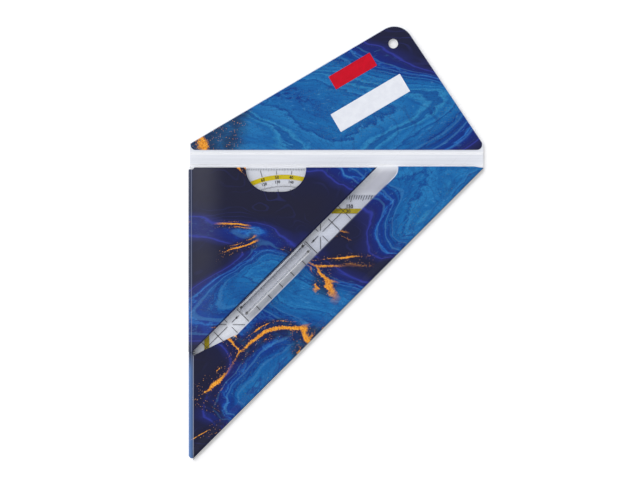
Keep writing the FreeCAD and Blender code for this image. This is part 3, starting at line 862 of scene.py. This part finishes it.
def make_handle_plastic():
    """Painted light and shade stand for what the thick grip bends: stripes from its darker side to a
    painted highlight at its bright edge. Its ends and the roots of its prongs are painted dark."""
    material, start, place = new_material("clear_handle")
    flow = noise(drawn_out(place, 45, 0.03), 1.0, detail=2)
    wear = noise(place, 2.5, detail=4).rise(0.5, 0.75)
    from_middle = place.axis("X") + place.axis("Y") - (handle_middle.x + handle_middle.y)
    aside = (diagonal(place) - handle_slant) * math.sqrt(0.5)
    along = abs(from_middle) * math.sqrt(0.5)
    off_prong = abs(abs(aside) - prong_side)
    # Painted shade: the roots of the prongs and the ends of the grip are painted dark where they
    # face up.
    head = (1 - off_prong.rise(0.5, 1.2)) * (1 - abs(along - prong_end).rise(0.5, 1.3))
    tail = (1 - off_prong.rise(0.2, 0.8)) * (1 - abs(along - (prong_end - 2)).rise(0.8, 2.4))
    looks_up = start.node("TexCoord", output="Normal").axis("Z").rise(0.3, 0.6)
    root_shade = head.math("MAXIMUM", head, tail * 0.5) * looks_up
    tip = 1 - abs(along - (handle_end - 0.5)).rise(0.15, 0.6)
    # The painted light and shade across the grip.
    painted_stripes = start.node("ValToRGB", {"stops": PAINTED_STRIPES}, {0: aside * (0.5 / handle_half) + 0.5})
    grip_colour = root_shade.math("MAXIMUM", root_shade, tip * 0.7).colours(painted_stripes, paint(34, 35, 44))
    ripple = bump(flow, 0.004)
    body = start.node("BsdfPrincipled", {}, {
        "Base Color": grip_colour,
        "Roughness": 0.26 + wear * 0.15,
        "IOR": acrylic_ior,
        "Normal": ripple,
    })
    clear = start.node("BsdfTransparent", {}, {"Color": (0.93, 0.94, 0.96, 1)})
    cover = 0.34 + flow * 0.1 + root_shade * 0.5 + tip * 0.3
    plastic = start.node("MixShader", {}, {0: cover, 1: clear, 2: body})
    gloss = start.node("BsdfGlossy", {}, {
        "Color": (1, 1, 1, 1),
        "Roughness": 0.22 + wear * 0.1,
        "Normal": ripple,
    })
    finish(start.node("MixShader", {}, {0: outer_shine(start, acrylic_ior), 1: plastic, 2: gloss}))
    return material


dress(make_handle_plastic(), "handle")

# ---- Small set square ---------------------------------------------------------------------------
# The same clear acrylic, 1.8 mm thick, in the small pocket. Its degree scale runs along the legs
# and on a yellow half circle about the middle of the ruling edge.

dress(clear_acrylic, "small_square")
bright_yellow_ink = ink_material("bright_yellow_ink", paint(202, 180, 0), paint(216, 194, 4))
arc_radius, arc_width, arc_foot = 51.0, 2.8, 8
inner_radius, inner_line = arc_radius - 6.0, 0.14
arc_row = arc_radius - 2.9                      # the second row of figures
spoke_start, spoke_length = 0.87, 0.1           # as shares of the inner radius
ray_start, ray_end = arc_radius + 1.7, 2.0      # from the middle, and inside the leg
grid_levels, grid_half, grid_foot = (10, 15, 20, 25), 40, 12


def inner_arc():
    """A half circle of chords, each a little over a degree long, with a tick at each degree, and
    a spoke inside it at each tenth."""
    made = []
    chord = inner_radius * math.radians(1.05)
    for angle in range(8, 173):
        x, y = at_angle(inner_radius, angle)
        made.append(line(x, y, angle, by_tens(angle, 1.8, 1.2, 0.7), inner_line))
        made.append(line(x, y, angle + 90.5, chord, inner_line))
        if angle % 10 == 0:
            start = (spoke_start * x, spoke_start * y)
            made.append(line(*start, angle, spoke_length * inner_radius, fine))
    return made


def outer_rays(reach):
    """From the yellow half circle out to the degree ticks, where there is room between them."""
    made = []
    for angle in range(10, 180, 10):
        length = math.hypot(*ray(angle, reach, ray_end)) - ray_start
        if length > 0.5:
            made.append(line(*at_angle(ray_start, angle), angle, length, fine))
    return made


def make_small_scales():
    """Ticks and figures as on the large square, the two half circles, and a grid of guide lines."""
    place, reach = place_on("small_square", black_drop)
    made = degree_ticks(reach, width=0.2, longest=1.9) + ruler(half_length=70)
    for angle in range(10, 180, 10):
        made += number(angle, *at_angle(arc_radius, angle), angle - 90, height=2.0)
        made += number(180 - angle, *at_angle(arc_row, angle), angle - 90, height=1.75)
    made += inner_arc() + outer_rays(reach)
    for step in (10, 20, 30, 40):
        for side in (-1, 1):
            made.append(line(side * step, grid_foot, 90, length=22 - step * 0.3, width=fine))
    for level in grid_levels:
        made.append(line(-grid_half, level, 0, 2 * grid_half, fine))
    made.append(line(0, axis_foot, 90, length=34, width=bold))
    print_marks("small_scales", made, black_ink, place, "small_set_square")


def make_small_band():
    """A ring, cut off a little above the long side."""
    place, _ = place_on("small_square", yellow_drop)
    inner_edge = arc_radius - arc_width / 2
    bpy.ops.object.select_all(action="DESELECT")
    bpy.ops.mesh.primitive_circle_add(vertices=180, radius=inner_edge)
    band = bpy.context.object
    bpy.ops.object.mode_set(mode="EDIT")
    bpy.ops.mesh.select_all(action="SELECT")
    bpy.ops.mesh.extrude_edges_move()
    grow = 1 + arc_width / inner_edge
    bpy.ops.transform.resize(value=(grow, grow, 1))
    bpy.ops.mesh.select_all(action="SELECT")
    bpy.ops.mesh.bisect(plane_co=(0, arc_foot, 0), plane_no=(0, 1, 0), clear_inner=True)
    bpy.ops.mesh.select_all(action="SELECT")
    bpy.ops.mesh.normals_make_consistent(inside=False)
    bpy.ops.object.mode_set(mode="OBJECT")
    mesh = band.data
    bpy.data.objects.remove(band)
    print_marks("small_band", [mesh], bright_yellow_ink, place, "small_set_square")


make_small_scales()
make_small_band()

# ---- Table, light and camera --------------------------------------------------------------------
# The set lies on a plain white table under soft light from the upper left, seen from above. The
# table is just below the set, so that the set's shadow is soft.

table_gap = 1.5


def make_table():
    """White card that glows a little where it is seen, and more to the left of the case: painted
    light there against the case's shade.
    """
    bpy.ops.object.select_all(action="DESELECT")
    bpy.ops.mesh.primitive_plane_add(size=8, location=(0, 0, -table_gap * MM))
    table = bpy.context.object
    table.name = "table"
    bpy.ops.object.transform_apply(location=True)
    material, start, place = new_material("table")
    seen = start.node("LightPath", output="Is Camera Ray")
    for kind in ("Is Glossy Ray", "Is Transmission Ray"):
        seen = seen.math("MAXIMUM", seen, start.node("LightPath", output=kind))
    card = start.node("BsdfDiffuse", {}, {"Color": (0.93, 0.93, 0.94, 1)})
    # Painted light to the left of the case, against the case's shade there.
    least_glow, painted_light_on_left = 0.11, 0.16
    bright = least_glow + (1 - across(place).rise(-1, 3)) * painted_light_on_left
    glow = start.node("Emission", {}, {"Color": (1, 1, 1, 1), "Strength": seen * bright})
    finish(start.node("AddShader", {}, {0: card, 1: glow}))
    table.data.materials.append(material)


def make_sky():
    """Even light from the sides, brighter on the upper left, and dim straight above, so that
    little is mirrored into the camera."""
    world = bpy.data.worlds.new("studio")
    bpy.context.scene.world = world
    world.use_nodes = True
    world.node_tree.nodes.clear()
    start = Wire(world.node_tree)
    way = start.node("TexCoord", output="Generated")
    height = way.axis("Z").rise(0.80, 0.97)
    lee = way.axis("X") * 0.40 - way.axis("Y") * 0.34
    level = (1.04 - height * 0.88) * (1 - lee)
    sky = start.node("Background", {}, {"Color": (1, 1, 1, 1), "Strength": level})
    start.node("OutputWorld", {}, {"Surface": sky})


def make_sun():
    """A broad soft window on the upper left."""
    bpy.ops.object.light_add(type="SUN", rotation=(0, 0, 0))
    sun = bpy.context.object
    sun.name = "window"
    towards = Vector((0.42, -0.36, -1.0))
    sun.rotation_euler = towards.to_track_quat("-Z", "Y").to_euler()
    sun.data.energy = 0.72
    sun.data.angle = math.radians(32)


def make_camera():
    """Straight above the set, far enough for little perspective."""
    height, view_width, sensor_width = 1.6, 0.3983, 36
    right_of_corner, below_mouth = 80.9, 45.7
    middle = ((left + right_of_corner) * MM, (mouth - below_mouth) * MM)
    bpy.ops.object.camera_add(location=(*middle, height))
    camera = bpy.context.object
    camera.data.sensor_width = sensor_width
    camera.data.lens = sensor_width * height / view_width
    camera.data.clip_end = 50
    bpy.context.scene.camera = camera


make_table()
make_sky()
make_sun()
make_camera()
bpy.context.scene.view_settings.view_transform = "Standard"
